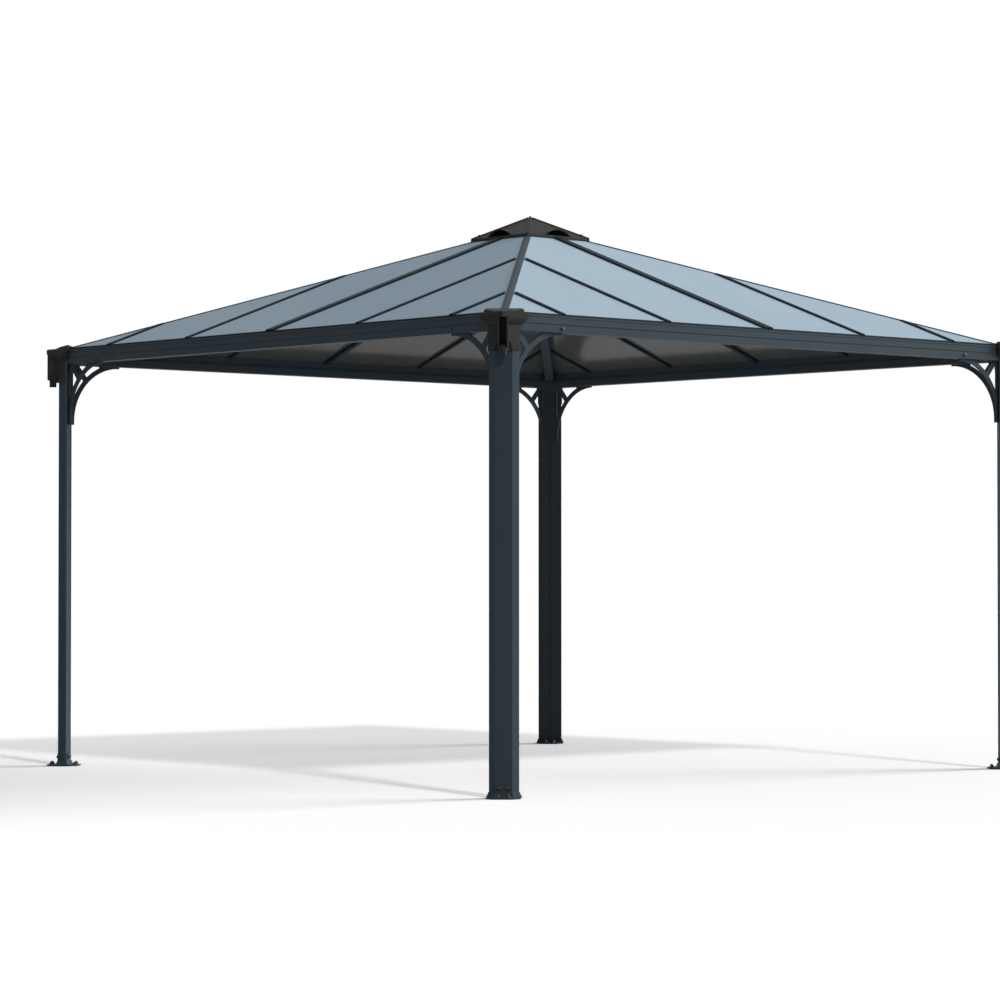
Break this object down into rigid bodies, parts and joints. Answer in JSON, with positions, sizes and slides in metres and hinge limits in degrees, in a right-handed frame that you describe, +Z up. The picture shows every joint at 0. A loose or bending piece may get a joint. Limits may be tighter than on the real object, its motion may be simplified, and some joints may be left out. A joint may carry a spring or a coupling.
{
  "type": "garden gazebo",
  "caption": "Open metal garden gazebo with diagonal plank posts, arched corner braces, gutter beams, a hipped panel roof and a vented apex cap.",
  "frame": {"origin": "on the ground under the roof's peak, which is the middle of the bounding box's bottom", "axes": "+Z up; X and Y run along the walls, with the front side at -Y"},
  "size_m": [3.6056, 3.6056, 2.8433],
  "materials": {
    "frame_paint": "satin powder coat",
    "cap_plastic": "fine moulded grain",
    "roof_sheet": "satin sheet"
  },
  "bodies": {
    "root": {"post_front_right": "frame_paint", "post_back_right": "frame_paint", "post_back_left": "frame_paint", "post_front_left": "frame_paint", "foot_front_right": "frame_paint", "foot_back_right": "frame_paint", "foot_back_left": "frame_paint", "foot_front_left": "frame_paint", "corner_joiner_front_right": "frame_paint", "corner_joiner_back_right": "frame_paint", "corner_joiner_back_left": "frame_paint", "corner_joiner_front_left": "frame_paint", "corner_braces_front_right": "frame_paint", "corner_braces_back_right": "frame_paint", "corner_braces_back_left": "frame_paint", "corner_braces_front_left": "frame_paint", "corner_cap_front_right": "cap_plastic", "corner_cap_back_right": "cap_plastic", "corner_cap_back_left": "cap_plastic", "corner_cap_front_left": "cap_plastic", "hip_rafter_front_right": "frame_paint", "hip_rafter_back_right": "frame_paint", "hip_rafter_back_left": "frame_paint", "hip_rafter_front_left": "frame_paint", "eave_beam_front": "frame_paint", "eave_beam_right": "frame_paint", "eave_beam_back": "frame_paint", "eave_beam_left": "frame_paint", "glazing_bars_front": "frame_paint", "glazing_bars_right": "frame_paint", "glazing_bars_back": "frame_paint", "glazing_bars_left": "frame_paint", "roof_panels_front": "roof_sheet", "roof_panels_right": "roof_sheet", "roof_panels_back": "roof_sheet", "roof_panels_left": "roof_sheet", "eave_trims_front": "frame_paint", "eave_trims_right": "frame_paint", "eave_trims_back": "frame_paint", "eave_trims_left": "frame_paint", "apex_hub": "frame_paint", "apex_cap": "cap_plastic", "finial": "cap_plastic"}
  },
  "joints": []
}
